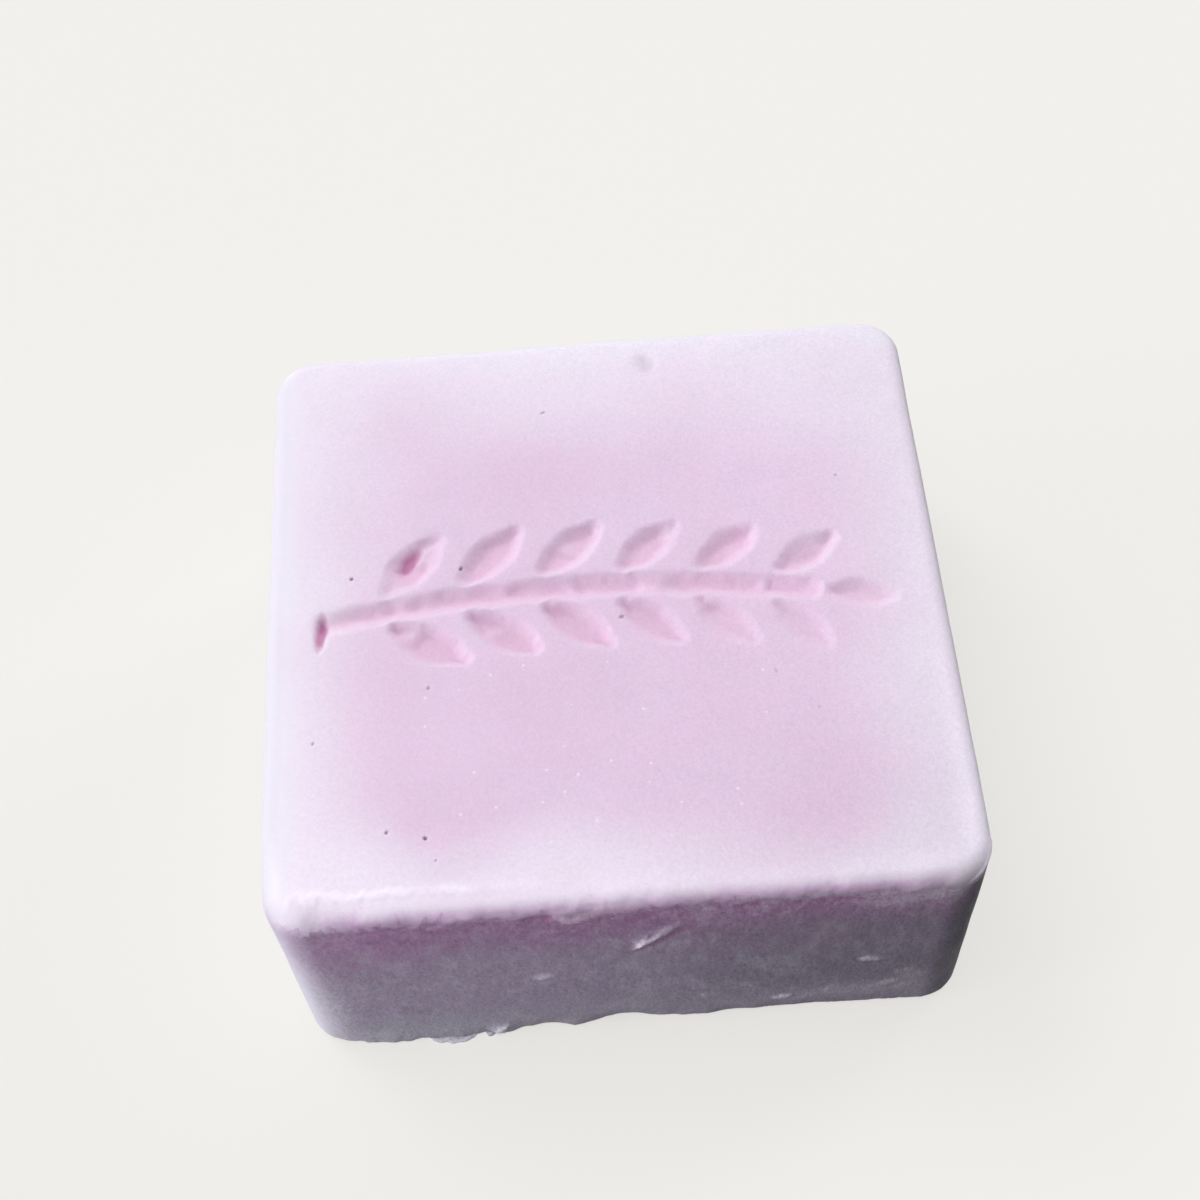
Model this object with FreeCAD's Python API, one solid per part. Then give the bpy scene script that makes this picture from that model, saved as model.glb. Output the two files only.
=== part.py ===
import FreeCAD, Part
import math
import os

# A square conditioner bar, poured in one piece into a soft mould.
# The origin is the middle of the underside, +Z is up and +Y is the back. Millimetres.

# Block, measured at the upper face where nothing else is said
bar_width = 62.0            # left to right
bar_depth = 62.0            # front to back
bar_height = 27.0
side_lean = 0.47            # how far each side comes in between the upper face and the base
corner_radius = 3.9         # upright corners, at the upper face
top_edge_radius = 1.3
base_edge_radius = 1.2

# Leaf sprig, sunk into the upper face by ridges in the bottom of the mould
sprig_margin = 4.5          # from each end of the sprig to the side of the bar
sprig_depth = 0.9
wall_draft = 14.0           # degrees that the walls of the recess lean outwards
rim_bevel = 0.3             # takes the edge off where a wall meets the upper face
stem_width = 1.7
stem_rise = 2.2             # how far the middle of the stem bows to the back
first_pair_at = 3.5         # along the stem, from its tail
last_pair_at = 5.2          # along the stem, from its tip
leaf_length = 7.8           # of the pair nearest the tail
leaf_width = 3.2
end_leaf_share = 0.76       # size of the leaf at the tip, as a share of the pair nearest the tail
leaf_angle = 40.0           # degrees between a leaf and the stem
leaf_tip_radius = 0.5
leaf_gap = 0.9              # bar left standing between the stem and a leaf
leaf_land = 1.3             # the least that is left standing between one leaf and the next

# What follows from these
end_leaf_length = end_leaf_share * leaf_length
stem_length = bar_width - 2 * sprig_margin - stem_width - leaf_gap - end_leaf_length
stem_shift = (leaf_gap + end_leaf_length) / 2       # to the left, so that the whole sprig is centred
stem_radius = stem_length ** 2 / (8 * stem_rise) + stem_rise / 2
least_pitch = (leaf_width + leaf_land) / math.sin(math.radians(leaf_angle))
leaf_steps = int((stem_length - first_pair_at - last_pair_at) / least_pitch)
leaf_pitch = (stem_length - first_pair_at - last_pair_at) / leaf_steps


def point(x, y, z=0.0):
    return FreeCAD.Vector(x, y, z)


def direction(degrees):
    return point(math.cos(math.radians(degrees)), math.sin(math.radians(degrees)))


def arc_through(start, middle, end):
    return Part.Arc(start, middle, end).toShape()


def edges_at(shape, z):
    """The edges that lie wholly in the level plane at height z."""
    return [edge for edge in shape.Edges if abs(edge.BoundBox.ZMin - z) + abs(edge.BoundBox.ZMax - z) < 1e-4]


def rounded_rectangle(width, depth, radius, z):
    """Closed wire of four sides and four corner arcs, centred on the Z axis."""
    side_x = width / 2 - radius
    side_y = depth / 2 - radius
    centres = [(side_x, side_y), (-side_x, side_y), (-side_x, -side_y), (side_x, -side_y)]
    arcs = []
    for quarter, (x, y) in enumerate(centres):
        circle = Part.Circle(point(x, y, z), point(0, 0, 1), radius)
        arcs.append(circle.toShape(quarter * math.pi / 2, (quarter + 1) * math.pi / 2))
    edges = []
    for arc, following in zip(arcs, arcs[1:] + arcs[:1]):
        edges.append(arc)
        edges.append(Part.makeLine(arc.lastVertex().Point, following.firstVertex().Point))
    return Part.Wire(edges)


def make_block():
    """The plain bar, leaning in towards its base, with its top and base edges rounded."""
    base_width = bar_width - 2 * side_lean
    base_depth = bar_depth - 2 * side_lean
    top = rounded_rectangle(bar_width, bar_depth, corner_radius, bar_height)
    base = rounded_rectangle(base_width, base_depth, corner_radius - side_lean, 0)
    block = Part.makeLoft([base, top], True, True)
    block = block.makeFillet(top_edge_radius, edges_at(block, bar_height))
    return block.makeFillet(base_edge_radius, edges_at(block, 0))


def stem_place(along, beside=0.0):
    """A point on the stem's arc, and the stem's heading there in degrees.

    along is the distance from the tail, and beside is the distance to the left of the centre line."""
    turn = (stem_length / 2 - along) / stem_radius
    reach = stem_radius + beside
    place = point(-reach * math.sin(turn) - stem_shift, reach * math.cos(turn) - stem_radius + stem_rise / 2)
    return place, math.degrees(turn)


def stem_outline(grow):
    """Slot along the stem's arc with a round cap at each end, moved outwards by grow."""
    reach = stem_width / 2 + grow
    tail, tail_heading = stem_place(0)
    tip, tip_heading = stem_place(stem_length)
    left = [stem_place(along, reach)[0] for along in (0, stem_length / 2, stem_length)]
    right = [stem_place(along, -reach)[0] for along in (stem_length, stem_length / 2, 0)]
    return Part.Wire([
        arc_through(*left),
        arc_through(left[-1], tip + direction(tip_heading) * reach, right[0]),
        arc_through(*right),
        arc_through(right[-1], tail - direction(tail_heading) * reach, left[0]),
    ])


def leaf_outline(length, width, grow):
    """Leaf along +X: two long arcs joined by a small arc at each end, moved outwards by grow.

    The origin is the centre of the small arc at the root."""
    spine = length - 2 * leaf_tip_radius
    belly = width / 2 - leaf_tip_radius
    side_radius = (spine ** 2 / 4 + belly ** 2) / (2 * belly)
    tip_radius = leaf_tip_radius + grow
    join_x = tip_radius * spine / 2 / side_radius
    join_y = tip_radius * (side_radius - belly) / side_radius
    left = [point(-join_x, join_y), point(spine / 2, belly + tip_radius), point(spine + join_x, join_y)]
    right = [point(spine + join_x, -join_y), point(spine / 2, -belly - tip_radius), point(-join_x, -join_y)]
    return Part.Wire([
        arc_through(*left),
        arc_through(left[-1], point(spine + tip_radius, 0), right[0]),
        arc_through(*right),
        arc_through(right[-1], point(-tip_radius, 0), left[0]),
    ])


def mould_ridge(outline):
    """One ridge of the mould, from its flat head up past the upper face; outline(grow) gives its section."""
    clear = 1.0             # how far the ridge runs on above the upper face, for a clean cut
    slope = math.tan(math.radians(wall_draft))
    head = outline(-sprig_depth * slope).translated(point(0, 0, bar_height - sprig_depth))
    root = outline(clear * slope).translated(point(0, 0, bar_height + clear))
    return Part.makeLoft([head, root], True, True)


def leaf_ridge(along, side, share):
    """Ridge of one leaf: side is 1 for left of the stem, -1 for right and 0 for the leaf at its tip."""
    ridge = mould_ridge(lambda grow: leaf_outline(share * leaf_length, share * leaf_width, grow))
    place, heading = stem_place(along)
    stand_off = stem_width / 2 + leaf_gap + leaf_tip_radius
    if side:
        stand_off /= math.sin(math.radians(leaf_angle))
    angle = heading + side * leaf_angle
    ridge.rotate(point(0, 0), point(0, 0, 1), angle)
    ridge.translate(place + direction(angle) * stand_off)
    return ridge


def sprig_ridges():
    ridges = [mould_ridge(stem_outline), leaf_ridge(stem_length, 0, end_leaf_share)]
    for step in range(leaf_steps + 1):
        share = 1 - (1 - end_leaf_share) * step / (leaf_steps + 1)
        for side in (1, -1):
            ridges.append(leaf_ridge(first_pair_at + step * leaf_pitch, side, share))
    return ridges


def make_bar():
    """The block with the sprig sunk into it and the rims of the sprig bevelled."""
    bar = make_block().cut(sprig_ridges())
    level = [face for face in bar.Faces if abs(face.BoundBox.ZMin - bar_height) < 1e-4]
    upper = max(level, key=lambda face: face.Area)
    rims = [edge for wire in upper.Wires if not wire.isSame(upper.OuterWire) for edge in wire.Edges]
    return bar.makeChamfer(rim_bevel, rims).Solids[0]


def main():
    os.makedirs("parts", exist_ok=True)
    bar = make_bar()
    bar.exportStep("parts/bar.step")
    box = bar.optimalBoundingBox(False, False)
    size = (box.XLength, box.YLength, box.ZLength)
    print("bar: %.2f x %.2f x %.2f mm, %.1f cm3, valid: %s" % (*size, bar.Volume / 1000, bar.isValid()))


main()
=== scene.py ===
import bpy
import bmesh
import math
from mathutils import Euler, Matrix, Vector, noise


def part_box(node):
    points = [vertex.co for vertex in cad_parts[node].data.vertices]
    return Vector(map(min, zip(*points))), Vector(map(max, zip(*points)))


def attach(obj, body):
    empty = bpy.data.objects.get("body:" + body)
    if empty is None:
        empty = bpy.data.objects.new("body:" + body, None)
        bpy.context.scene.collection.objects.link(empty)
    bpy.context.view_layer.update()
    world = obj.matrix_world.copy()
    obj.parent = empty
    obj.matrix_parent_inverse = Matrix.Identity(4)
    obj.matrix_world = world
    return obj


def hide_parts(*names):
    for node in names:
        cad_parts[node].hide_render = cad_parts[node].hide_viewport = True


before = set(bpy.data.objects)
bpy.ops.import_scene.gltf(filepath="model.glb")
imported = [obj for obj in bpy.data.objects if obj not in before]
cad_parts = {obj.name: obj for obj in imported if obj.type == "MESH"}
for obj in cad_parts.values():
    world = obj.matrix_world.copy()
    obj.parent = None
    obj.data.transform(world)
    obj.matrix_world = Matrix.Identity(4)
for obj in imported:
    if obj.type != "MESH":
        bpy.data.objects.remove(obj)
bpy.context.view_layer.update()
mm = 0.001
low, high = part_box("bar")
halfWidth = (high.x - low.x) / 2
halfDepth = (high.y - low.y) / 2
print("stage: frame loaded")


def put(tree, kind, inputs=None, **settings):
    # adds one node, sets its options, and fills or links its inputs
    node = tree.nodes.new(kind)
    for name, value in settings.items():
        setattr(node, name, value)
    for name, value in (inputs or {}).items():
        if isinstance(value, bpy.types.NodeSocket):
            tree.links.new(value, node.inputs[name])
        else:
            node.inputs[name].default_value = value
    return node


def treeOf(*values):
    # the tree that linked values belong to
    return next(value.id_data for value in values if isinstance(value, bpy.types.NodeSocket))


def calc(operation, first, second=0.0):
    return put(treeOf(first, second), "ShaderNodeMath", {0: first, 1: second}, operation=operation).outputs[0]


def plus(first, second):
    return calc("ADD", first, second)


def minus(first, second):
    return calc("SUBTRACT", first, second)


def times(first, second):
    return calc("MULTIPLY", first, second)


def timesPlus(first, second, third):
    tree = treeOf(first, second, third)
    return put(tree, "ShaderNodeMath", {0: first, 1: second, 2: third}, operation="MULTIPLY_ADD").outputs[0]


def least(first, second):
    return calc("MINIMUM", first, second)


def most(first, second):
    return calc("MAXIMUM", first, second)


def remap(value, fromLow, fromHigh, toLow=0.0, toHigh=1.0, kind="SMOOTHSTEP"):
    return put(treeOf(value), "ShaderNodeMapRange", {0: value, 1: fromLow, 2: fromHigh, 3: toLow, 4: toHigh},
               interpolation_type=kind).outputs[0]


def vectorCalc(operation, first, second):
    return put(treeOf(first), "ShaderNodeVectorMath", {0: first, 1: second}, operation=operation).outputs


def apart(vector):
    return put(treeOf(vector), "ShaderNodeSeparateXYZ", {0: vector}).outputs


def together(x=0.0, y=0.0, z=0.0):
    return put(treeOf(x, y, z), "ShaderNodeCombineXYZ", {0: x, 1: y, 2: z}).outputs[0]


def blend(share, first, second):
    return put(treeOf(share), "ShaderNodeMix", {0: share, 6: first, 7: second}, data_type="RGBA").outputs[2]


def addObject(name, data):
    thing = bpy.data.objects.new(name, data)
    bpy.context.scene.collection.objects.link(thing)
    return thing


def hump(share):
    # 1 in the middle, falling smoothly to 0 where share reaches 1
    return (1 - share * share) ** 2 if share < 1 else 0.0


def wobble(x, row, size):
    # noise along a line, another one for each row
    return noise.noise(Vector((x, 0, row)) / size)


# The poured block
barForm = {
    "cornerRadius": 3.9 * mm,  # upright corners
    "topEdge": 1.3 * mm,
    "baseEdge": 1.2 * mm,
    "wornCorner": 1.5 * mm,  # how much rounder the upper edge is, front left
    "wornReach": 10 * mm,  # and how far that goes
    "softCorner": 0.5 * mm,  # the same, front right
    "softReach": 8 * mm,
    "sideLean": 0.47 * mm,  # how far the base comes in
    "panelStep": 0.62 * mm,  # mesh spacing away from worked places
    "swell": 0.10 * mm,  # slow waves in the poured faces
    "swellSize": 11 * mm,
    "ripple": 0.03 * mm,
    "rippleSize": 3.2 * mm,
}
flush = 0.01 * mm  # what lies closer to a flat face counts as on it


def sideInset(place):
    return min(halfWidth - abs(place.x), halfDepth - abs(place.y))


def roundedPlace(x, y, z):
    # takes a point of the plain box to the rounded, leaning bar, with the way it faces
    radius = barForm["cornerRadius"]
    signX = math.copysign(1, x)
    signY = math.copysign(1, y)
    cornerX = abs(x) - (halfWidth - radius)
    cornerY = abs(y) - (halfDepth - radius)
    if cornerX > 0 and cornerY > 0:
        reach = max(cornerX, cornerY)
        span = math.hypot(cornerX, cornerY)
        outward = Vector((signX * cornerX / span, signY * cornerY / span, 0))
        place = Vector((signX * (halfWidth - radius), signY * (halfDepth - radius), z)) + outward * reach
        inset = radius - reach
    else:
        onSide = halfWidth - abs(x) < halfDepth - abs(y)
        outward = Vector((signX, 0, 0) if onSide else (0, signY, 0))
        place = Vector((x, y, z))
        inset = sideInset(place)
    top = z > (low.z + high.z) / 2
    edge = barForm["topEdge"] if top else barForm["baseEdge"]
    if top:
        edge += barForm["wornCorner"] * hump(math.hypot(x + halfWidth, y + halfDepth) / barForm["wornReach"])
        edge += barForm["softCorner"] * hump(math.hypot(x - halfWidth, y + halfDepth) / barForm["softReach"])
    cap = Vector((0, 0, 1 if top else -1))
    gap = high.z - z if top else z - low.z
    across = max(edge - inset, 0)
    along = max(edge - gap, 0)
    if across > 0 and along > 0:
        span = math.hypot(across, along)
        place += outward * (edge / span * across - across) + cap * (edge / span * along - along)
        facing = (outward * across + cap * along) / span
    else:
        facing = cap if gap < flush / 100 else outward
    lean = 1 - barForm["sideLean"] / halfWidth * (high.z - place.z) / (high.z - low.z)
    place.x *= lean
    place.y *= lean
    return place, facing


def panelBox():
    # closed box of even square panels
    mesh = bmesh.new()
    size = Vector((2 * halfWidth, 2 * halfDepth, high.z - low.z))
    centre = Vector((0, 0, (low.z + high.z) / 2))
    quarter = math.pi / 2
    for turn in [(0, 0, 0), (2 * quarter, 0, 0), (quarter, 0, 0), (-quarter, 0, 0),
                 (0, quarter, 0), (0, -quarter, 0)]:
        rotation = Euler(turn).to_matrix()
        spans = [abs((rotation.transposed() @ size)[axis]) for axis in range(3)]
        counts = [round(span / barForm["panelStep"]) for span in spans]
        matrix = Matrix.Translation(centre) @ rotation.to_4x4() @ Matrix.Diagonal((*spans, 1))
        bmesh.ops.create_grid(mesh, x_segments=counts[0], y_segments=counts[1], size=0.5,
                              matrix=matrix @ Matrix.Translation((0, 0, 0.5)))
    bmesh.ops.remove_doubles(mesh, verts=mesh.verts, dist=flush)
    bmesh.ops.recalc_face_normals(mesh, faces=mesh.faces)
    return mesh


def refine(mesh, wanted):
    # halves the panels whose middle is wanted
    edges = {edge for face in mesh.faces if wanted(face.calc_center_median()) for edge in face.edges}
    bmesh.ops.subdivide_edges(mesh, edges=list(edges), cuts=1, use_grid_fill=True)


# Where the panels are made smaller
zones = {
    "sprig": (27.9 * mm, 8.1 * mm),  # across, and up and down from its bow
    "bowEnd": 7 * mm,  # in from the sides of the bar
    "topEdge": 2.3 * mm,
    "frontCorner": 3.6 * mm,  # the same in the front corners
    "cornerReach": 7 * mm,
    "ridge": (1.5 * mm, 4.1 * mm),  # in from the front
    "ridgeEnd": -12 * mm,
    "crescent": (0.8 * mm, 3 * mm),  # down from the upper face
    "crescentReach": 5 * mm,
    "underEdge": 5 * mm,
    "frontFoot": 3.0 * mm,
    "otherFoot": 1.3 * mm,
    "flash": (-27 * mm, -11 * mm),
    "flashHeight": 1.3 * mm,
    "flashReach": 1.8 * mm,
}


def onTop(place):
    return place.z > high.z - flush


def onFront(place):
    return place.y < -halfDepth + flush


def between(value, zone):
    return zone[0] < value < zone[1]


def inSprigBand(place):
    bow = sprig["Stem Rise"] * (0.5 - (place.x / (halfWidth - zones["bowEnd"])) ** 2)
    across, upright = zones["sprig"]
    return onTop(place) and abs(place.y - bow) < upright and abs(place.x) < across


def nearTopEdge(place):
    atCorner = math.hypot(abs(place.x) - halfWidth, place.y + halfDepth) < zones["cornerReach"]
    return sideInset(place) + high.z - place.z < zones["frontCorner" if atCorner else "topEdge"]


def nearRidge(place):
    inset = place.y + halfDepth
    return onTop(place) and between(inset, zones["ridge"]) and place.x < zones["ridgeEnd"]


def nearCrescent(place):
    reach = zones["crescentReach"]
    atCorner = place.x > halfWidth - reach and place.y < -halfDepth + reach
    return atCorner and between(high.z - place.z, zones["crescent"])


def underFrontEdge(place):
    return onFront(place) and place.z > high.z - zones["underEdge"]


def nearFoot(place):
    reach = zones["frontFoot" if place.y < -halfDepth + 1 * mm else "otherFoot"]
    return sideInset(place) + place.z - low.z < reach


def nearFlash(place):
    inset, rise = place.y + halfDepth, place.z - low.z
    atFoot = rise < zones["flashHeight"] and inset + rise < zones["flashReach"]
    return atFoot and between(place.x, zones["flash"])


# Small holes left by air in the upper face, with painted shade in them: x, y, length, width, turn in degrees,
# depth, in millimetres
airHoles = [
    (-4.6, 21.9, 0.75, 0.3, 32, 0.11), (22.7, 11.6, 0.36, 0.32, 0, 0.12), (-13.1, 4.1, 0.6, 0.34, 62, 0.22),
    (-23.2, 3.8, 0.46, 0.38, 40, 0.25), (1.4, -2.6, 0.55, 0.4, 35, 0.15),
    (-16.3, -8.7, 0.46, 0.34, 70, 0.12), (14.7, -9.6, 0.5, 0.36, 110, 0.07),
    (18, -13.6, 0.3, 0.28, 0, 0.08), (-26.5, -13.5, 0.5, 0.26, 70, 0.16),
    (-20.1, -22.8, 0.42, 0.32, 60, 0.22), (-16.8, -23.6, 0.4, 0.34, 0, 0.26),
    (-15.9, -25.8, 0.4, 0.3, 90, 0.1),
]

# Places where the mould pulled wax away, as above
tears = [(-17.9, 5.5, 3.9, 1.5, 50, 0.42), (-26, -1.9, 4.4, 1.2, 84, 0.5)]

# Shallow dents, as above, with a little painted shade in them
dents = [(5.7, 27.2, 3.4, 1.9, 112, 0.24), (6.1, 26.6, 1.6, 1, 100, 0.12), (18.5, 28.5, 7, 2, 5, 0.05),
         (-14, -26.5, 9, 3, 8, 0.04), (0.5, -9.5, 11, 7, -15, 0.05)]

# Strokes on the front, in millimetres from point to point: x, z, half width, how far it stands out, how pale
paleStrokes = [
    # a shaving left standing
    [(0.3, 17.4, 0.22, 0.08, 0.6), (0.62, 18.2, 0.32, 0.34, 0.85), (1.05, 18.95, 0.38, 0.46, 0.98),
     (1.7, 19.15, 0.34, 0.32, 0.6), (2.4, 19.8, 0.42, 0.2, 0.34), (3.2, 20.9, 0.62, 0.15, 0.3),
     (4.2, 21.9, 0.6, 0.08, 0.18), (5, 22.3, 0.4, 0.02, 0.05)],
    [(5.05, 21.9, 0.2, 0.04, 0.35), (5.15, 22, 0.2, 0.04, 0.35)],
    [(1.2, 19.6, 0.22, 0.12, 0.55), (1.5, 20.2, 0.2, 0.05, 0.35)],
    # lumps under the upper edge
    [(-5.9, 25.3, 0.8, 0.05, 0.66), (-5, 24.2, 0.8, 0.08, 0.92), (-3.9, 24.8, 0.9, 0.05, 0.84),
     (-2.6, 25.6, 1, 0.03, 0.74)],
    # painted light over the shadow between the lumps and the rim
    [(-5.4, 25.4, 1, 0, 0.6), (-4.1, 26, 1, 0, 0.62)],
    [(-1.4, 25.7, 1, 0.04, 0.74), (0.6, 26, 0.9, 0.04, 0.66)],
    [(-25.5, 24.3, 1.1, 0, 0.12), (-22.8, 24, 1.1, 0, 0.1)],
    [(-14.8, 25.7, 0.6, 0.05, 0.4), (-13.4, 26, 0.6, 0.05, 0.4)],
    [(-16.6, 24.8, 0.5, 0.04, 0.3), (-15.8, 25, 0.5, 0.04, 0.3)],
    [(20, 24.6, 0.6, 0.02, 0.22), (22, 24.9, 0.7, 0.02, 0.28), (24.8, 25.5, 0.8, 0.03, 0.32)],
    [(13.5, 25.5, 0.6, 0.03, 0.25), (16.5, 25.7, 0.6, 0.03, 0.25)],
    [(20.5, 23, 1, 0, 0.14), (24, 23.8, 1.4, 0, 0.5), (27.4, 24.2, 1.4, 0, 0.56)],
    [(23, 22.2, 0.8, 0, 0.12), (25.5, 22.7, 0.9, 0, 0.2), (27.6, 22.9, 0.9, 0, 0.2)],
    # crumbs and smears lower down
    [(-8, 12.6, 0.72, 0.13, 0.76), (-7.4, 12.8, 0.6, 0.1, 0.62)],
    [(20.7, 11.3, 0.6, 0.12, 0.78), (21.8, 11.1, 0.54, 0.1, 0.74)],
    [(13.4, 3.8, 0.66, 0.2, 0.66), (14.1, 4, 0.58, 0.2, 0.6)],
    [(15.4, 3.3, 0.7, 0.06, 0.32), (16.4, 3.5, 0.6, 0.06, 0.32)],
    [(23.1, 5.2, 0.85, 0.08, 0.5), (23.7, 5.5, 0.75, 0.08, 0.5)],
    [(24.8, 4.2, 0.6, 0.06, 0.36), (25, 4.5, 0.5, 0.06, 0.36)],
    [(24.9, 6.5, 1, 0.05, 0.34), (26.3, 6.9, 0.9, 0.05, 0.3)],
    [(17.9, 4.6, 0.6, 0.05, 0.2), (18.7, 4.7, 0.5, 0.05, 0.2)],
    [(6.3, 5.9, 0.4, 0.06, 0.5), (6.5, 6, 0.35, 0.06, 0.5)],
    [(24.2, 7.6, 0.7, 0.04, 0.28), (25.1, 8, 0.6, 0.04, 0.28)],
    [(10, 2.6, 1.2, 0.02, 0.12), (17.5, 3.9, 1.6, 0.02, 0.3), (26, 4.4, 1.6, 0.02, 0.21)],
    [(-13.2, 0.9, 0.4, 0.2, 0.7), (-12.5, 1.5, 0.42, 0.3, 0.85), (-12, 2, 0.25, 0.15, 0.6)],
    [(-14.9, 0.45, 0.28, 0.15, 0.7), (-14, 0.6, 0.26, 0.15, 0.7)],
]

# The same for what goes in, with how dark it is
darkStrokes = [
    # the groove that the shaving came out of, with painted shadow under the shaving, and the crease above it,
    # with painted shade
    [(0.2, 16.6, 0.4, -0.06, 0.25), (1.8, 17.7, 0.6, -0.14, 0.38), (3, 19.2, 0.6, -0.14, 0.42),
     (4.4, 20.5, 0.55, -0.12, 0.4), (5.4, 20.6, 0.45, -0.04, 0.2)],
    [(-1.2, 22.4, 0.7, -0.02, 0.1), (0.1, 23.3, 0.9, -0.05, 0.18), (2.1, 24.4, 1, -0.05, 0.22),
     (4.4, 25.4, 0.7, -0.02, 0.12)],
    # red, where the skin is torn
    [(-8.4, 25, 0.55, -0.08, 0.4), (-7, 25.1, 0.65, -0.12, 0.7), (-6.1, 25, 0.4, -0.08, 0.5)],
    [(-22.4, 24.5, 0.5, -0.06, 0.25), (-20.6, 24.8, 0.55, -0.08, 0.42), (-18.6, 25.4, 0.4, -0.04, 0.25)],
    [(-26.7, 21.4, 0.5, -0.05, 0.25), (-25.4, 22.8, 0.5, -0.05, 0.25)],
    [(9.2, 24.4, 0.55, -0.06, 0.4), (10.9, 24.8, 0.5, -0.06, 0.5)],
    [(17.8, 24.5, 0.5, -0.06, 0.4), (19.8, 24.2, 0.6, -0.06, 0.4)],
]

# How the foot of the front runs: x, half width, how far it stands out (or in), in millimetres
footWaves = [(-22.5, 5.5, 0.4), (-16.6, 4, 0.4), (-12.4, 2, 0.35), (-8.2, 2.2, -0.3),
             (-5.4, 1.3, 0.1), (-1, 4.2, -0.8), (3.2, 2, -0.2), (9, 3, -0.1),
             (15.5, 12, -0.28)]

# Thin flash squeezed out under the front: x, half width, how far it stands out
footFlash = [(-17.3, 3.1, 0.8), (-24.6, 2.2, 0.18), (-21.4, 1.2, 0.22), (-13.6, 1, 0.3)]


# How the marks and strokes above meet the bar round them, in millimetres
markForm = {
    "spread": 1.2,  # how far a mark fades out past its own size
    "steep": 1.3,
    "fullDepth": 0.25,  # from this deep on a mark has its full colour
    "raggedSize": 0.5,
    "strokeSpread": 1.25,
    "strokeReach": 2,  # how far past its ends a stroke still counts
}


def turnedShare(acrossX, acrossY, length, width, turn):
    # how far a point is from the middle of an oval, 1 being its rim
    cosine, sine = math.cos(math.radians(turn)), math.sin(math.radians(turn))
    along = (acrossX * cosine + acrossY * sine) / (length / 2)
    beside = (acrossY * cosine - acrossX * sine) / (width / 2)
    return math.hypot(along, beside)


def markDepth(place, marks, ragged):
    # how far marks in the upper face go down here, with how much of a mark it is
    depth, share = 0.0, 0.0
    for x, y, length, width, turn, markDeep in marks:
        acrossX, acrossY = place.x / mm - x, place.y / mm - y
        if abs(acrossX) < length and abs(acrossY) < length:
            spread = markForm["spread"]
            reach = turnedShare(acrossX, acrossY, length * spread, width * spread, turn)
            reach += ragged * noise.noise(Vector((place.x, place.y, x * mm)) / (markForm["raggedSize"] * mm))
            here = min(1.0, markForm["steep"] * hump(max(reach, 0)))
            depth = max(depth, here * markDeep)
            share = max(share, here * min(1.0, markDeep / markForm["fullDepth"]))
    return depth * mm, share


def strokeAt(x, z, stroke):
    # how much of a stroke there is here, 1 along its middle, with its own values there
    best, values = 0.0, (0, 0, 0, 0, 0)
    for first, second in zip(stroke, stroke[1:]):
        runX, runZ = second[0] - first[0], second[1] - first[1]
        along = ((x - first[0]) * runX + (z - first[1]) * runZ) / (runX ** 2 + runZ ** 2)
        along = min(max(along, 0), 1)
        mixed = [a + (b - a) * along for a, b in zip(first, second)]
        here = hump(math.hypot(x - mixed[0], z - mixed[1]) / (mixed[2] * markForm["strokeSpread"]))
        if here > best:
            best, values = here, mixed
    return best, values


def frontRelief(place):
    # what stands out of the front or goes in, with how pale and how dark it is
    x, z = place.x / mm, (place.z - low.z) / mm
    x += 0.16 * noise.noise(Vector((x, z, 1)) / 0.5)
    z += 0.22 * noise.noise(Vector((x, z, 5)) / 0.6) + 0.16 * noise.noise(Vector((x, z, 8)) / 0.28)
    out, shares = 0.0, []
    for strokes, steep in [(paleStrokes, markForm["steep"]), (darkStrokes, 1)]:
        share = 0.0
        for stroke in strokes:
            if stroke[0][0] - markForm["strokeReach"] < x < stroke[-1][0] + markForm["strokeReach"]:
                here, values = strokeAt(x, z, stroke)
                out += here * values[3]
                share = max(share, min(1.0, here * steep) * values[4])
        shares.append(share)
    return out * mm, *shares


# The crumbled edge along the top of the front, in millimetres
rimForm = {
    "under": 0.9,  # below the upper face, where it is strongest
    "height": 2.2,
    "inset": 0.4,
    "depth": 2.2,
    "fine": 0.07,
    "slow": 0.16,
}


def rimCrumble(place, drop, inset):
    crumble = noise.noise(place / (1.2 * mm)) + 0.5 * noise.noise(place / (0.6 * mm))
    slow = wobble(place.x, 5 * mm, 3.4 * mm)
    onRim = hump(abs(drop - rimForm["under"]) / rimForm["height"])
    onRim *= hump(max(inset - rimForm["inset"], 0) / rimForm["depth"])
    return onRim * (rimForm["fine"] * crumble + rimForm["slow"] * slow) * mm


# A thin crescent that stands up along the front right corner, in millimetres
crescentForm = {
    "middle": 0.62,  # where it is highest, 0 being the front and 1 the right side
    "halfSpan": 0.75,
    "reach": 5,  # in from the right side
    "drop": 2.2,  # under the upper face at the front
    "climb": 1.2,  # how much nearer the upper face at the right
    "halfWidth": 0.26,
    "height": 0.17,
    # painted light above the crescent, reaching this far up
    "litAbove": 1.6,
}


def crescent(place, facing, drop):
    # how far it stands out, and how pale it is: partly a painted highlight along the crescent, and painted
    # light above it
    around = facing.x / math.hypot(facing.x, facing.y)
    corner = hump(abs(around - crescentForm["middle"]) / crescentForm["halfSpan"])
    corner *= hump(max(halfWidth - place.x, 0) / (crescentForm["reach"] * mm))
    below = drop - crescentForm["drop"] + crescentForm["climb"] * around
    line = hump(abs(below) / crescentForm["halfWidth"])
    above = hump(max(-below, 0) / crescentForm["litAbove"]) if below < 0 else line
    return corner * crescentForm["height"] * line * mm, min(1.0, 1.6 * corner) * max(line, 0.75 * above)


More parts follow.
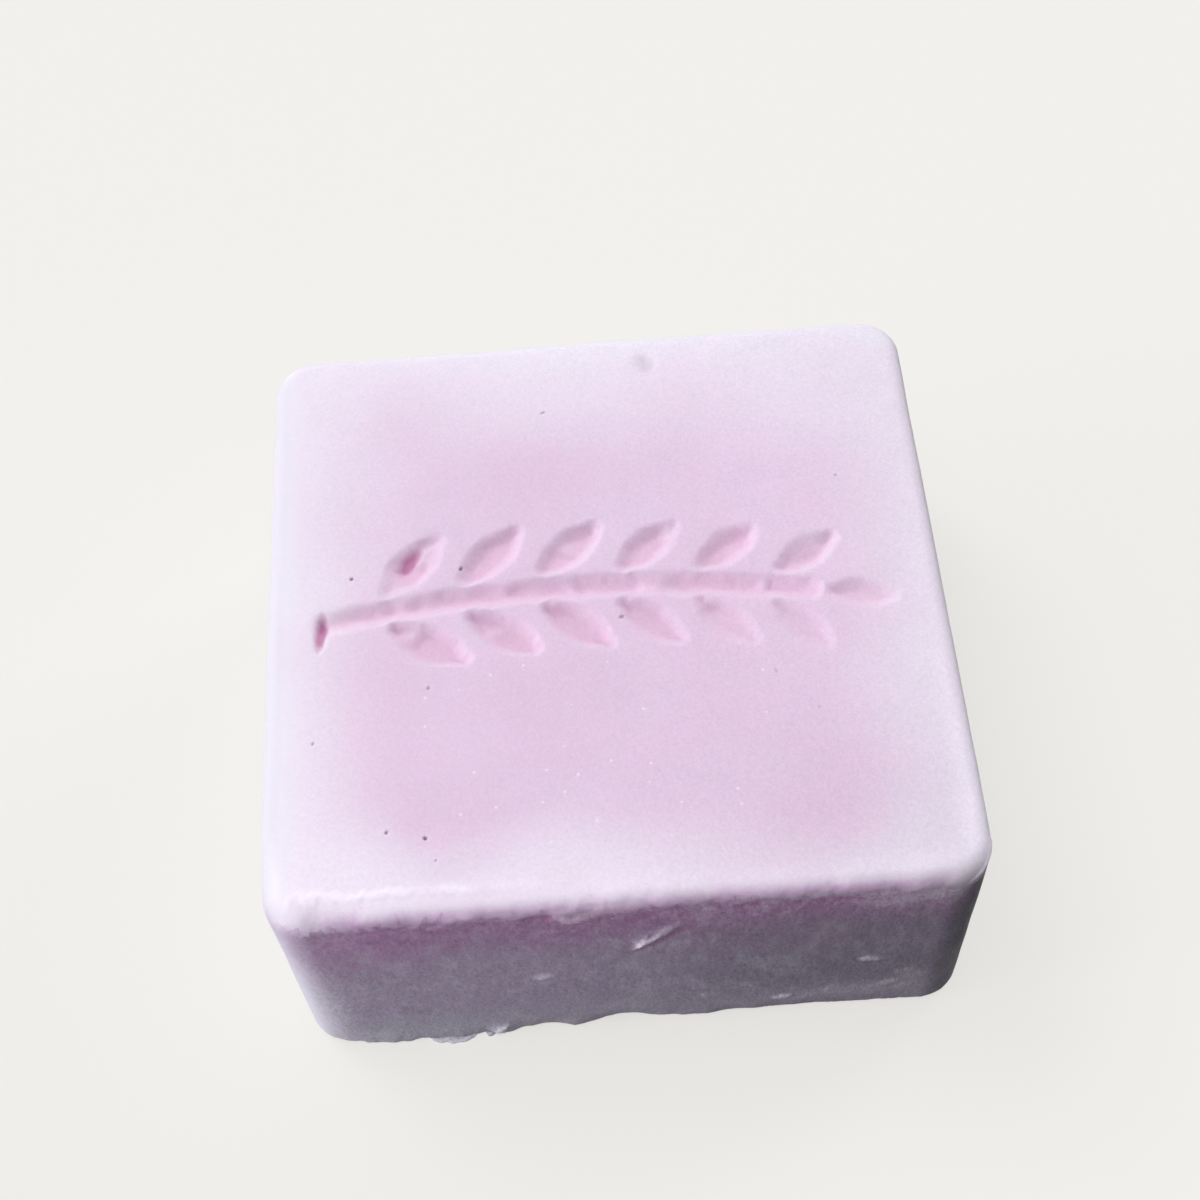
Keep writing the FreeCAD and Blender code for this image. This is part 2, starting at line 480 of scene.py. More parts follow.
# The edge of a thin skin along the front of the upper face, hooked at its left end, in millimetres
skinForm = {
    "inset": 2.3,  # from the front to the ridge
    "bulge": (-27.3, 0.3, 2.6),  # x, how much further in, half width
    "hook": (-28.7, 0.35, 0.8),  # x, how much nearer the front, half width
    "rightEnd": -22,  # where it starts to fade out to the right
    "rightFade": 18,
    "leftEnd": -27.9,
    "leftFade": 1.0,
    "broad": (-27, 0.6, 3.5),  # x, how much broader, half width
    "frontSlope": 0.5,
    "backSlope": 0.8,
    "height": 0.14,
    "hollow": 0.05,  # the dip in front of it
}


def bulge(x, middle, amount, half):
    return amount * hump(abs(x - middle) / half)


def skinRidge(x, inset):
    # how far the ridge stands up, and how pale it is, a painted highlight along it
    crest = skinForm["inset"] + bulge(x, *skinForm["bulge"]) + 0.25 * wobble(x, 1, 1.8)
    crest += 0.28 * wobble(x, 2, 0.7) + 0.08 * wobble(x, 3, 0.3)
    crest -= bulge(x, *skinForm["hook"])
    strength = max(0, 0.75 + 0.7 * wobble(x, 4, 1.5) + 0.35 * wobble(x, 6, 0.6))
    strength *= hump(max(x - skinForm["rightEnd"], 0) / skinForm["rightFade"])
    strength *= hump(max(skinForm["leftEnd"] - x, 0) / skinForm["leftFade"])
    across = (inset - crest) / (1 + bulge(x, *skinForm["broad"]))
    ridge = strength * hump(abs(across) / skinForm["frontSlope" if across < 0 else "backSlope"])
    dip = skinForm["hollow"] * strength * hump(max(-across - 0.7, 0) / 1.5) * (across < 0)
    return (skinForm["height"] * ridge - dip) * mm, min(1.0, ridge * 1.5)


# The foot of the front, in millimetres
footForm = {
    "height": 3.5,  # up to where the waves of the foot reach
    "depth": 7,  # and how far in
    "lift": 0.6,  # how much of a wave outwards becomes a sag downwards
    "flashFrom": 0.3,  # the flash lies this high and fades out above
    "flashFade": 0.22,
    "flashInset": 1.6,
    "flashDepth": 2,
}


def footWave(x):
    wave = sum(out * hump(abs(x - middle) / half) for middle, half, out in footWaves)
    return wave + 0.10 * wobble(x, 3, 1.3) + 0.05 * wobble(x, 7, 0.5)


def shiftFoot(place, rise, inset):
    # moves a point of the foot in or out, and says how much of the flash it is
    x = place.x / mm
    wave = footWave(x)
    share = hump(rise / footForm["height"]) * hump(max(inset - 1, 0) / footForm["depth"])
    place.y -= wave * mm * share
    if wave > 0 and rise < 1.5:
        place.z -= min(wave * 0.9, rise) * hump(max(inset - 0.6, 0) / 2.5) * footForm["lift"] * mm
    flash = sum(bulge(x, middle, out, half) for middle, half, out in footFlash)
    flash *= 1 + 0.5 * wobble(place.x, 9 * mm, 0.8 * mm)
    lip = hump(max(rise - footForm["flashFrom"], 0) / footForm["flashFade"]) * min(1, flash * 4)
    lip *= hump(max(inset - footForm["flashInset"], 0) / footForm["flashDepth"])
    if lip > 0:
        edge = -halfDepth + barForm["sideLean"] - flash * mm
        place.y += (edge - place.y) * lip
    return max(lip, 0)


def workedPlace(flat):
    # everything that the pour, the mould and handling did to one point of the bar
    place, facing = roundedPlace(*flat)
    out = noise.noise(place / barForm["swellSize"]) * barForm["swell"]
    out += noise.noise(place / barForm["rippleSize"]) * barForm["ripple"]
    pale, holeShade, tearAndShade = 0.0, 0.0, 0.0
    drop = (high.z - place.z) / mm
    rise = (place.z - low.z) / mm
    inset = (place.y + halfDepth) / mm  # from the front
    if facing.z > 0.5 and drop < 0.5:
        depth, holeShade = markDepth(place, airHoles, 0.25)
        tearDepth, tearAndShade = markDepth(place, tears, 0.12)
        dentDepth, dent = markDepth(place, dents, 0.15)
        out -= depth + tearDepth + dentDepth
        # dents get a share of the painted shade of the holes
        holeShade = max(holeShade, 0.25 * dent)
    if facing.z > -0.1 and inset < 4:
        out += rimCrumble(place, drop, inset)
    if facing.x > 0 and facing.y < -0.02 and place.x > halfWidth - crescentForm["reach"] * mm and drop < 3.5:
        standing, pale = crescent(place, facing, drop)
        out += standing
    if facing.y < -0.3 and rise > 0.4:
        relief, crumb, tornAndShaded = frontRelief(place)
        out += relief * -facing.y
        pale, tearAndShade = max(pale, crumb), max(tearAndShade, tornAndShaded)
    if facing.z > 0.3 and inset < 5 and place.x < 0:
        ridge, ridgeHighlight = skinRidge(place.x / mm, inset)
        out += ridge
        pale = max(pale, ridgeHighlight)
    if facing.y < 0.1 and rise < footForm["height"] and inset < footForm["depth"] + 1:
        pale = max(pale, shiftFoot(place, rise, inset))
    place += facing * out
    place.z = max(place.z, low.z)
    return place, pale, holeShade, tearAndShade


def nearAirHole(place):
    return onTop(place) and any(math.hypot(place.x / mm - x, place.y / mm - y) < length * 0.6 + 0.25
                                for x, y, length, *others in airHoles)


def nearStroke(place):
    # broad strokes are left out, as they need no finer panels
    return onFront(place) and any(strokeAt(place.x / mm, (place.z - low.z) / mm, stroke)[0] > 0
                                  for stroke in paleStrokes + darkStrokes if stroke[0][2] < 1)


def makeBlock():
    mesh = panelBox()
    for tests in [(inSprigBand, nearTopEdge, nearFoot, nearRidge, underFrontEdge, nearStroke, nearAirHole),
                  (inSprigBand, nearAirHole, nearStroke, nearFlash, nearRidge, nearCrescent), (nearAirHole,)]:
        refine(mesh, lambda place: any(test(place) for test in tests))
    layers = [mesh.verts.layers.float.new(name) for name in ("pale", "holeShade", "tearAndShade")]
    for vert in mesh.verts:
        vert.co, *shares = workedPlace(vert.co)
        for layer, share in zip(layers, shares):
            vert[layer] = share
    middle = halfWidth - 4 * mm  # the flat middle of the underside is one face
    underside = [face for face in mesh.faces if all(vert.co.z < low.z + 0.25 * mm for vert in face.verts)
                 and max(abs(face.calc_center_median().x), abs(face.calc_center_median().y)) < middle]
    bmesh.ops.dissolve_faces(mesh, faces=underside)
    data = bpy.data.meshes.new("castBar")
    mesh.to_mesh(data)
    mesh.free()
    for polygon in data.polygons:
        polygon.use_smooth = True
    return addObject("castBar", data)


# The sunk sprig: these values are the named inputs of its trees
sprig = {
    "Depth": 0.9 * mm,
    "Stem Length": 44.47 * mm,
    "Stem Rise": 2.2 * mm,
    "Stem Width": 1.7 * mm,
    "First Pair": 3.5 * mm,
    "Last Pair": 5.2 * mm,
    "Pairs": 6,
    "Leaf Length": 7.8 * mm,
    "Leaf Width": 3.2 * mm,
    "End Share": 0.76,
    "Leaf Angle": math.radians(40),
    "Leaf Gap": 0.9 * mm,
    "Tip Radius": 0.5 * mm,
    "Wall Run": 0.90 * mm,  # how far a wall takes to reach the floor
    "Rim Run": 0.75 * mm,  # how far the rim rolls over outside it
    "Wander": 0.15 * mm,  # how far the walls stray from a true line
    "Filled": 0.50,  # share of the depth lost where wax crept back
}

# Where wax crept back: from and to, with the share at each end
sprigFill = {
    "tail": (-20 * mm, -27 * mm, 0, 0.9),
    "toTheRight": (-2 * mm, 16 * mm),
    "toTheFront": (1 * mm, -4 * mm),
    "chance": (0.48, 0.70),
    "chanceSize": 4 * mm,
    "seed": 2.6,
}


def newTree(name, inputs, geometryIn=False):
    tree = bpy.data.node_groups.new(name, "GeometryNodeTree")
    sockets = [("Geometry", "NodeSocketGeometry")] if geometryIn else []
    sockets += [(each, "NodeSocketInt" if each == "Pairs" else "NodeSocketFloat") for each in inputs]
    for socketName, socketType in sockets:
        tree.interface.new_socket(socketName, in_out="INPUT", socket_type=socketType)
    tree.interface.new_socket("Geometry", in_out="OUTPUT", socket_type="NodeSocketGeometry")
    return tree, put(tree, "NodeGroupInput").outputs


def store(geometry, name, value):
    # keeps a value on every point
    return put(geometry.id_data, "GeometryNodeStoreNamedAttribute", {
        "Geometry": geometry, "Name": name, "Value": value}).outputs[0]


def recall(tree, name):
    return put(tree, "GeometryNodeInputNamedAttribute", {"Name": name}).outputs[0]


def stemCurve(tree, given):
    # the arc of the stem, with its middle half the rise above the middle of the bar
    length, rise = given["Stem Length"], given["Stem Rise"]
    radius = calc("DIVIDE", times(length, length), times(rise, 8))
    radius = plus(radius, times(rise, 0.5))
    turn = calc("DIVIDE", length, radius)
    endLeaf = times(given["Leaf Length"], given["End Share"])
    shift = times(plus(given["Leaf Gap"], endLeaf), -0.5)
    arc = put(tree, "GeometryNodeCurveArc", {
        "Resolution": 200, "Radius": radius, "Sweep Angle": times(turn, -1),
        "Start Angle": timesPlus(turn, 0.5, math.pi / 2)}, mode="RADIUS").outputs["Curve"]
    centre = together(shift, minus(times(rise, 0.5), radius))
    return put(tree, "GeometryNodeTransform", {"Geometry": arc, "Translation": centre}).outputs[0]


def leafLine(tree, given):
    # one leaf's middle line, with the belly of the leaf as its reach
    tip = given["Tip Radius"]
    spine = timesPlus(tip, -2, given["Leaf Length"])
    belly = minus(times(given["Leaf Width"], 0.5), tip)
    halfSpine = times(spine, 0.5)
    sideRadius = plus(times(halfSpine, halfSpine), times(belly, belly))
    sideRadius = calc("DIVIDE", sideRadius, times(belly, 2))
    line = put(tree, "GeometryNodeMeshLine", {"Count": 60, "Offset": together(spine)}, mode="END_POINTS")
    along = apart(put(tree, "GeometryNodeInputPosition").outputs[0])[0]
    fromMiddle = minus(along, halfSpine)
    height = minus(times(sideRadius, sideRadius), times(fromMiddle, fromMiddle))
    reach = minus(calc("SQRT", height), minus(sideRadius, belly))
    return store(line.outputs[0], "reach", plus(reach, tip))


def leafRoots(tree, given, stem, halfStem):
    # where each leaf goes: two to a step along the stem, then one past its tip
    pairs, length = given["Pairs"], given["Stem Length"]
    count = timesPlus(pairs, 2, 1)
    index = put(tree, "GeometryNodeInputIndex").outputs[0]
    step = calc("FLOOR", times(index, 0.5))
    onStem = calc("LESS_THAN", step, pairs)
    side = times(onStem, timesPlus(calc("MODULO", index, 2), -2, 1))
    room = minus(minus(length, given["First Pair"]), given["Last Pair"])
    pitch = calc("DIVIDE", room, minus(pairs, 1))
    distance = least(timesPlus(step, pitch, given["First Pair"]), length)
    onCurve = put(tree, "GeometryNodeSampleCurve", {"Curves": stem, "Length": distance},
                  mode="LENGTH", use_all_curves=True)
    heading = apart(onCurve.outputs["Tangent"])
    heading = calc("ARCTAN2", heading[1], heading[0])
    angle = timesPlus(side, given["Leaf Angle"], heading)
    share = minus(1, given["End Share"])
    share = minus(1, times(share, calc("DIVIDE", step, pairs)))
    standOff = plus(plus(halfStem, given["Leaf Gap"]), given["Tip Radius"])
    widen = minus(calc("DIVIDE", 1, calc("SINE", given["Leaf Angle"])), 1)
    standOff = times(standOff, timesPlus(onStem, widen, 1))
    way = together(times(calc("COSINE", angle), standOff),
                   times(calc("SINE", angle), standOff))
    root = vectorCalc("ADD", onCurve.outputs["Position"], way)[0]
    roots = put(tree, "GeometryNodePoints", {"Count": count, "Position": root})
    return store(roots.outputs[0], "share", share), together(0, 0, angle)


def sprigTree():
    # the stem and the leaves as lines of points, each with its half width as "reach"
    names = [name for name in sprig if name not in {"Depth", "Wall Run", "Rim Run", "Wander", "Filled"}]
    tree, given = newTree("sprigLines", names)
    halfStem = times(given["Stem Width"], 0.5)
    stem = stemCurve(tree, given)
    stemLine = store(put(tree, "GeometryNodeCurveToMesh", {"Curve": stem}).outputs[0], "reach", halfStem)
    leaf = leafLine(tree, given)
    roots, rotation = leafRoots(tree, given, stem, halfStem)
    share = recall(tree, "share")
    leaves = put(tree, "GeometryNodeInstanceOnPoints", {
        "Points": roots, "Instance": leaf, "Rotation": rotation, "Scale": share})
    leaves = put(tree, "GeometryNodeRealizeInstances", {0: leaves.outputs[0]}).outputs[0]
    leaves = store(leaves, "reach", times(recall(tree, "reach"), share))
    both = put(tree, "GeometryNodeJoinGeometry")
    tree.links.new(stemLine, both.inputs[0])
    tree.links.new(leaves, both.inputs[0])
    put(tree, "NodeGroupOutput", {"Geometry": both.outputs[0]})
    return tree


def sample(lines, value, index, kind):
    return put(lines.id_data, "GeometryNodeSampleIndex", {"Geometry": lines, "Value": value, "Index": index},
               data_type=kind).outputs[0]


def sinkTree(material):
    # lowers the upper face wherever it lies within reach of a stem or leaf line
    lineTree = sprigTree()
    tree, given = newTree("sunkSprig", ["Level", *sprig], geometryIn=True)
    lines = put(tree, "GeometryNodeGroup", node_tree=lineTree)
    for name in sprig:
        if name in lines.inputs:
            tree.links.new(given[name], lines.inputs[name])
    lines = lines.outputs[0]
    position = put(tree, "GeometryNodeInputPosition").outputs[0]
    x, y, z = apart(position)
    flat = together(x, y)
    drift = put(tree, "ShaderNodeTexNoise", {"Vector": flat, "Scale": 0.45 / mm, "Detail": 2})
    drift = vectorCalc("SUBTRACT", drift.outputs["Color"], (0.5, 0.5, 0.5))[0]
    drift = put(tree, "ShaderNodeVectorMath", {0: drift, "Scale": times(given["Wander"], 4)},
                operation="SCALE").outputs[0]
    flat = vectorCalc("MULTIPLY", vectorCalc("ADD", flat, drift)[0], (1, 1, 0))[0]
    nearest = put(tree, "GeometryNodeSampleNearest", {"Geometry": lines, "Sample Position": flat}).outputs[0]
    linePlace = sample(lines, position, nearest, "FLOAT_VECTOR")
    reach = sample(lines, recall(tree, "reach"), nearest, "FLOAT")
    away = minus(vectorCalc("DISTANCE", flat, linePlace)["Value"], reach)
    sunk = remap(away, given["Rim Run"], times(given["Wall Run"], -1))
    sunk = times(sunk, calc("GREATER_THAN", z, minus(given["Level"], 0.5 * mm)))

    # shallower at the tail and towards the lower right, and by chance
    tail = remap(x, *sprigFill["tail"])
    lowerRight = times(remap(x, *sprigFill["toTheRight"]), remap(y, *sprigFill["toTheFront"]))
    chance = put(tree, "ShaderNodeTexNoise", {
        "Vector": position, "W": sprigFill["seed"], "Scale": 1 / sprigFill["chanceSize"], "Detail": 1},
        noise_dimensions="4D").outputs[0]
    filled = most(most(tail, lowerRight), remap(chance, *sprigFill["chance"]))
    filled = times(filled, given["Filled"])
    sunk = times(sunk, minus(1, filled))
    kept = store(given["Geometry"], "sunk", sunk)
    drop = times(times(recall(tree, "sunk"), given["Depth"]), -1)
    moved = put(tree, "GeometryNodeSetPosition", {"Geometry": kept, "Offset": together(0, 0, drop)})
    realized = put(tree, "GeometryNodeRealizeInstances", {0: moved.outputs[0]})
    finished = put(tree, "GeometryNodeSetMaterial", {"Geometry": realized.outputs[0], "Material": material})
    put(tree, "NodeGroupOutput", {"Geometry": finished.outputs[0]})
    return tree


def grow(thing, tree, values):
    # runs a tree on an object and leaves the result as its plain mesh
    modifier = thing.modifiers.new(tree.name, "NODES")
    modifier.node_group = tree
    for item in tree.interface.items_tree:
        if item.item_type == "SOCKET" and item.in_out == "INPUT" and item.name in values:
            modifier[item.identifier] = values[item.name]
    graph = bpy.context.evaluated_depsgraph_get()
    mesh = bpy.data.meshes.new_from_object(thing.evaluated_get(graph), preserve_all_data_layers=True,
                                           depsgraph=graph)
    thing.modifiers.clear()
    thing.data = mesh


# The waxy stuff of the bar
waxLook = {
    "core": (0.765, 0.61, 0.78, 1),
    "pinkCore": (0.76, 0.585, 0.755, 1),  # slow patches
    "bloom": (0.865, 0.785, 0.915, 1),  # whitish bloom along the edges
    "litBloom": (0.86, 0.825, 0.94, 1),  # bloom with painted light, strongest at the left
    "shadedBloom": (0.8, 0.735, 0.85, 1),  # bloom with painted shade, towards the right and the front
    "sunk": (0.8, 0.55, 0.725, 1),  # floor of the sprig
    # painted shade in the air holes and dents
    "holeShade": (0.33, 0.25, 0.34, 1),
    # red where the wax is torn, and painted shade in the groove and crease on the front
    "tearAndShade": (0.56, 0.22, 0.42, 1),
    "blush": (0.8, 0.59, 0.835, 1),  # where the bloom gives way to the front
    "veil": (0.76, 0.62, 0.82, 1),  # thin smears just under the edge
    "plum": (0.56, 0.32, 0.56, 1),  # sides, under the upper edge
    "grey": (0.545, 0.46, 0.62, 1),  # sides, towards the base
    "rightShade": (0.345, 0.3, 0.4, 1),  # painted shade on the sides, towards the right
    "shade": (0.13, 0.125, 0.15, 1),  # painted shade on the front right corner
    "dust": (0.75, 0.69, 0.82, 1),  # rubbed places
    "footLight": (0.64, 0.62, 0.715, 1),  # painted light along the foot, for what the floor throws back
    "crumb": (0.94, 0.85, 1, 1),  # crumbs, smears and specks, also painted highlights and painted light carried by the pale mark
    "lump": (1, 0.73, 1, 1),  # lumps just under the upper edge
    "cloudStray": 6 * mm,  # how far the edges of colours wander
    "patchStray": 2.5 * mm,
    "frontSlant": 0.045,  # how much narrower the front bloom gets to the right
    "scallopSize": 1.1 * mm,  # notches in the upper front edge
    "scallop": 3 * mm,
    "fringe": 2.3 * mm,
    "speckStep": 1.5 * mm,  # from one pale speck to the next
    "speckMiddle": (-2 * mm, -18 * mm),
    "roughness": (0.55, 0.72),
    "refraction": 1.3,
    "specular": 0.25,
    "translucency": 0.45,
    "scatter": 1.6 * mm,
    "scatterColour": (1, 0.7, 0.9),
    "grainHeight": 0.04 * mm,
    "dustHeight": 0.012 * mm,
    "patchHeight": 0.08 * mm,
    "bumpStrength": 0.6,
}

# Bloom on the upper face: where it thins and ends, in millimetres from each side, with its share
bloomEdges = {"left": (-1, 15, 1), "back": (-1, 18, 1), "front": (1, 9.5, 0.8),
              "right": (-1, 14, 0.85)}

# Sizes of the noise in the wax, from clouds down to dust, with the detail in each
waxGrains = {"cloud": (12 * mm, 0), "patch": (3.5 * mm, 1), "grit": (1.2 * mm, 1),
             "fine": (0.45 * mm, 1), "dust": (0.20 * mm, 0)}

# Where each colour changes: from and to in millimetres, then its share (or shift) at each end if not 0 and 1
waxFades = {
    "bloomShadeFront": (2, 12, 9 * mm, 0), "bloomShade": (8, 31), "coolLeft": (0.5, 4, 1, 0),
    "coolBack": (0.5, 6, 0.6, 0), "coolRight": (0.8, 3.5, 1, 0), "coolRightEnd": (2, 22, 0.9, 0.1),
    # the upper edge, where the bloom gives way to the plum of the sides
    "nearRim": (2.2, 3.2, 1, 0), "cornerRight": (24.5, 28.5), "cornerFront": (5, 8, 1, 0),
    "fringeBack": (6, 16, 1, 0.6), "blush": (0, 0.7), "blushLeft": (3, 8, 0.2, 1),
    "blushFront": (2.2, 3.2, 1, 0), "edgeRight": (1.2, 2.5, -0.7 * mm, 0),
    "edgeDrift": (12, 27, 0, -0.6 * mm), "edgeSteep": (3, 9, 1.6, 1.15), "side": (0.65, 2),
    # the sides: plum under the edge, greyer below, painted shade to the right and on the front right corner,
    # painted light along the foot
    "greyLeft": (5, 20, -1.2 * mm, 0), "greyRight": (0, 8, 0, -2.5 * mm), "grey": (1.5, 13),
    "rightShade": (-8, 22, 0, 0.85), "rightShadeTop": (2.5, 9), "rightShadeFoot": (18, 25, 1, 0.1),
    "rightShadeBack": (5, 20, 1, 0.35), "dustRight": (0, 28, 1, 0.4), "cleanTop": (3, 8, 0.7, 0),
    "cleanLeft": (-14, 4, 1, 0), "veil": (1, 6, 0.6, 0), "veilRight": (-8, 22, 0.2, 1),
    "footLight": (18, 26, 0, 0.45), "footRight": (-22, 14, 2, 0.6), "leftTop": (1.5, 5, 1, 0),
    "leftBack": (5, 22, 1, 0.25), "leftVeil": (2, 7.5, 0.5, 0), "leftNarrow": (2, 20, 2.6 * mm, 0),
    "leftBloom": (1.2, 6.6, 1, 0), "shadeRight": (0.3, 4.8, 1, 0), "shadeTop": (1.7, 3.4),
    "shadeBack": (2.2, 9, 1, 0),
    # specks, lumps and the evenness of the whole
    "specks": (6, 20, 0.45, 0.99), "lumpTop": (0.35, 1), "lumpFoot": (3.5, 6, 1, 0),
    "lumpRight": (8, 16, 1, 0), "calmLeft": (1, 5, 0.25, 1), "calmRight": (-20, 20, 0.9, 1.15),
    "tilt": (-24, 28, 0.02, -0.065), "tiltBack": (4, 30, 1, 0), "tiltEdge": (1, 3.5),
    "leftRim": (0.2, 1.9, 0.85, 1),
}


def fade(value, name, kind="SMOOTHSTEP"):
    start, stop, *ends = waxFades[name]
    return remap(value, start * mm, stop * mm, *ends, kind=kind)


def tint(share, colour, name):
    return blend(share, colour, waxLook[name])


def grain(place, size, detail=1):
    # noise around zero, with features of the given size
    node = put(place.id_data, "ShaderNodeTexNoise", {"Vector": place, "Scale": 1 / size, "Detail": detail})
    return minus(node.outputs[0], 0.5)


def mark(tree, name):
    # how much of a mark the mesh has here
    return put(tree, "ShaderNodeAttribute", attribute_name=name).outputs["Fac"]


def waxPlaces(tree):
    # where a point lies on the bar, and the noise by which the wax varies
    place = put(tree, "ShaderNodeTexCoord").outputs["Object"]
    x, y, z = apart(place)
    drawn = vectorCalc("MULTIPLY", place, (1, 1, 0.5))[0]
    at = {"place": place, "x": x}
    for name, (size, detail) in waxGrains.items():
        at[name] = grain(place if name == "cloud" else drawn, size, detail)
    at["stray"] = timesPlus(at["cloud"], waxLook["cloudStray"], times(at["patch"], waxLook["patchStray"]))
    at["left"] = plus(x, halfWidth)
    at["right"] = minus(halfWidth, x)
    at["front"] = plus(y, halfDepth)
    at["back"] = minus(halfDepth, y)
    at["drop"] = minus(high.z, z)
    return at


def faceColour(tree, at):
    # the upper face, with how much bloom there is
    x, stray, fromFront = at["x"], at["stray"], at["front"]
    slanted = dict(at, front=timesPlus(x, waxLook["frontSlant"], fromFront))
    clear = 1
    for side, (start, stop, strength) in bloomEdges.items():
        wandering = plus(slanted[side], stray)
        clear = times(clear, remap(wandering, start * mm, stop * mm, 1 - strength, 1))
    bloom = minus(1, clear)
    # the bloom gets painted shade towards the right and the front
    bloomShade = plus(fade(fromFront, "bloomShadeFront"), plus(x, stray))
    bloomColour = tint(fade(bloomShade, "bloomShade"), waxLook["bloom"], "shadedBloom")
    # and painted light at the left, the back and along the right fillet
    cool = fade(timesPlus(stray, 0.4, at["left"]), "coolLeft")
    cool = most(cool, fade(plus(stray, at["back"]), "coolBack"))
    coolRight = times(fade(at["right"], "coolRight"), fade(fromFront, "coolRightEnd"))
    bloomColour = tint(most(cool, coolRight), bloomColour, "litBloom")
    core = timesPlus(at["patch"], 0.7, at["cloud"])
    core = tint(remap(core, -0.2, 0.25), waxLook["core"], "pinkCore")
    colour = blend(bloom, core, bloomColour)
    return tint(times(mark(tree, "sunk"), 0.85), colour, "sunk"), bloom


def edgeColour(at, colour):
    # blush over the upper edge, with where the front right corner is and how far the side colour has set in
    x, drop, fromLeft, fromFront = at["x"], at["drop"], at["left"], at["front"]
    at["inset"] = least(least(fromLeft, at["right"]), least(fromFront, at["back"]))
    scallop = grain(at["place"], waxLook["scallopSize"])
    nearRim = fade(at["inset"], "nearRim")
    atCorner = times(fade(x, "cornerRight"), fade(fromFront, "cornerFront"))
    fringe = timesPlus(scallop, waxLook["scallop"], times(at["fine"], waxLook["fringe"]))
    fringe = times(fringe, timesPlus(atCorner, -0.5, 1))
    fringe = times(fringe, fade(fromFront, "fringeBack"))
    ragged = plus(drop, fringe)
    onset = timesPlus(fringe, 0.2, drop)
    blush = times(fade(onset, "blush"), minus(1, atCorner))
    blush = times(blush, fade(fromLeft, "blushLeft"))
    blush = times(blush, fade(fromFront, "blushFront"))
    colour = tint(blush, colour, "blush")
    ragged = plus(ragged, fade(at["right"], "edgeRight"))
    ragged = plus(ragged, fade(x, "edgeDrift"))
    steep = timesPlus(atCorner, 0.35, fade(fromLeft, "edgeSteep"))
    ragged = timesPlus(minus(ragged, 2 * mm), steep, 2 * mm)
    return colour, atCorner, times(fade(ragged, "side"), nearRim)


def sideColour(at, atCorner):
    x, stray, patch, grit, drop = at["x"], at["stray"], at["patch"], at["grit"], at["drop"]
    fromLeft, fromFront = at["left"], at["front"]
    grey = timesPlus(grit, 6 * mm, plus(drop, stray))
    grey = plus(grey, fade(fromLeft, "greyLeft"))
    grey = plus(grey, fade(x, "greyRight"))
    colour = tint(fade(grey, "grey"), waxLook["plum"], "grey")
    rightward = plus(x, stray)
    # painted shade, darker towards the right, mostly on the front
    rightShade = times(fade(rightward, "rightShade"), fade(drop, "rightShadeTop"))
    rightShade = times(rightShade, fade(drop, "rightShadeFoot"))
    rightShade = times(rightShade, fade(fromFront, "rightShadeBack"))
    colour = tint(rightShade, colour, "rightShade")
    dusty = remap(timesPlus(patch, -0.5, grit), -0.05, 0.35, 0, 0.32)
    dusty = times(dusty, fade(rightward, "dustRight"))
    clean = times(fade(drop, "cleanTop"), fade(x, "cleanLeft"))
    dusty = times(dusty, minus(1, clean))
    veil = times(fade(drop, "veil"), fade(x, "veilRight"))
    veil = times(veil, timesPlus(atCorner, 0.5, 1))
    veil = times(veil, remap(plus(grit, at["fine"]), -0.2, 0.25))
    colour = tint(veil, colour, "veil")
    colour = tint(dusty, colour, "dust")
    # painted light along the foot, stronger at the left
    footLight = fade(timesPlus(stray, 0.5, drop), "footLight")
    footLight = times(footLight, fade(rightward, "footRight"))
    colour = tint(footLight, colour, "footLight")
    leftward = timesPlus(stray, 0.3, fromLeft)
    atLeft = most(fade(drop, "leftTop"), fade(fromFront, "leftBack"))
    colour = tint(times(fade(leftward, "leftVeil"), atLeft), colour, "veil")
    # the left side gets the bloom with painted light
    leftward = plus(leftward, fade(drop, "leftNarrow"))
    colour = tint(times(fade(leftward, "leftBloom"), atLeft), colour, "litBloom")
    # painted shade on the front right corner, fading towards the back
    shaded = times(fade(at["right"], "shadeRight"), fade(drop, "shadeTop"))
    shaded = times(shaded, fade(timesPlus(stray, 0.6, fromFront), "shadeBack"))
    return tint(shaded, colour, "shade")


def addPale(tree, at, colour):
    # crumbs, smears and lumps, and pale specks, mostly on the front half of the upper face, with the painted
    # highlights and painted light of the ridge, the crescent and the lumps
    cells = put(tree, "ShaderNodeTexVoronoi", {
        "Vector": at["place"], "Scale": 1 / waxLook["speckStep"], "Randomness": 1})
    dot = remap(cells.outputs["Distance"], 0.06, 0.13, 0.6, 0)
    chosen = apart(cells.outputs["Color"])[0]
    spread = vectorCalc("DISTANCE", at["place"], (*waxLook["speckMiddle"], high.z))["Value"]
    chosen = calc("GREATER_THAN", chosen, fade(spread, "specks"))
    pale = mark(tree, "pale")
    pale = most(times(dot, chosen), times(pale, 0.95))
    lumpy = times(fade(at["drop"], "lumpTop"), fade(at["drop"], "lumpFoot"))
    lumpy = times(lumpy, fade(at["x"], "lumpRight"))
    return blend(pale, colour, tint(lumpy, waxLook["crumb"], "lump")), pale


def evenness(at, side):
    # how light the wax is from place to place, with how calm it is
    x, fromLeft = at["x"], at["left"]
    value = times(at["fine"], timesPlus(side, 0.40, 0.10))
    value = timesPlus(at["dust"], timesPlus(side, 0.40, 0.12), value)
    value = timesPlus(at["grit"], times(side, 0.25), value)
    value = timesPlus(at["patch"], 0.08, value)
    calm = times(fade(fromLeft, "calmLeft"), fade(x, "calmRight"))
    value = times(value, calm)
    tilt = times(fade(x, "tilt", "LINEAR"), fade(at["front"], "tiltBack"))
    value = plus(value, times(tilt, fade(at["inset"], "tiltEdge")))
    return plus(value, fade(fromLeft, "leftRim")), calm


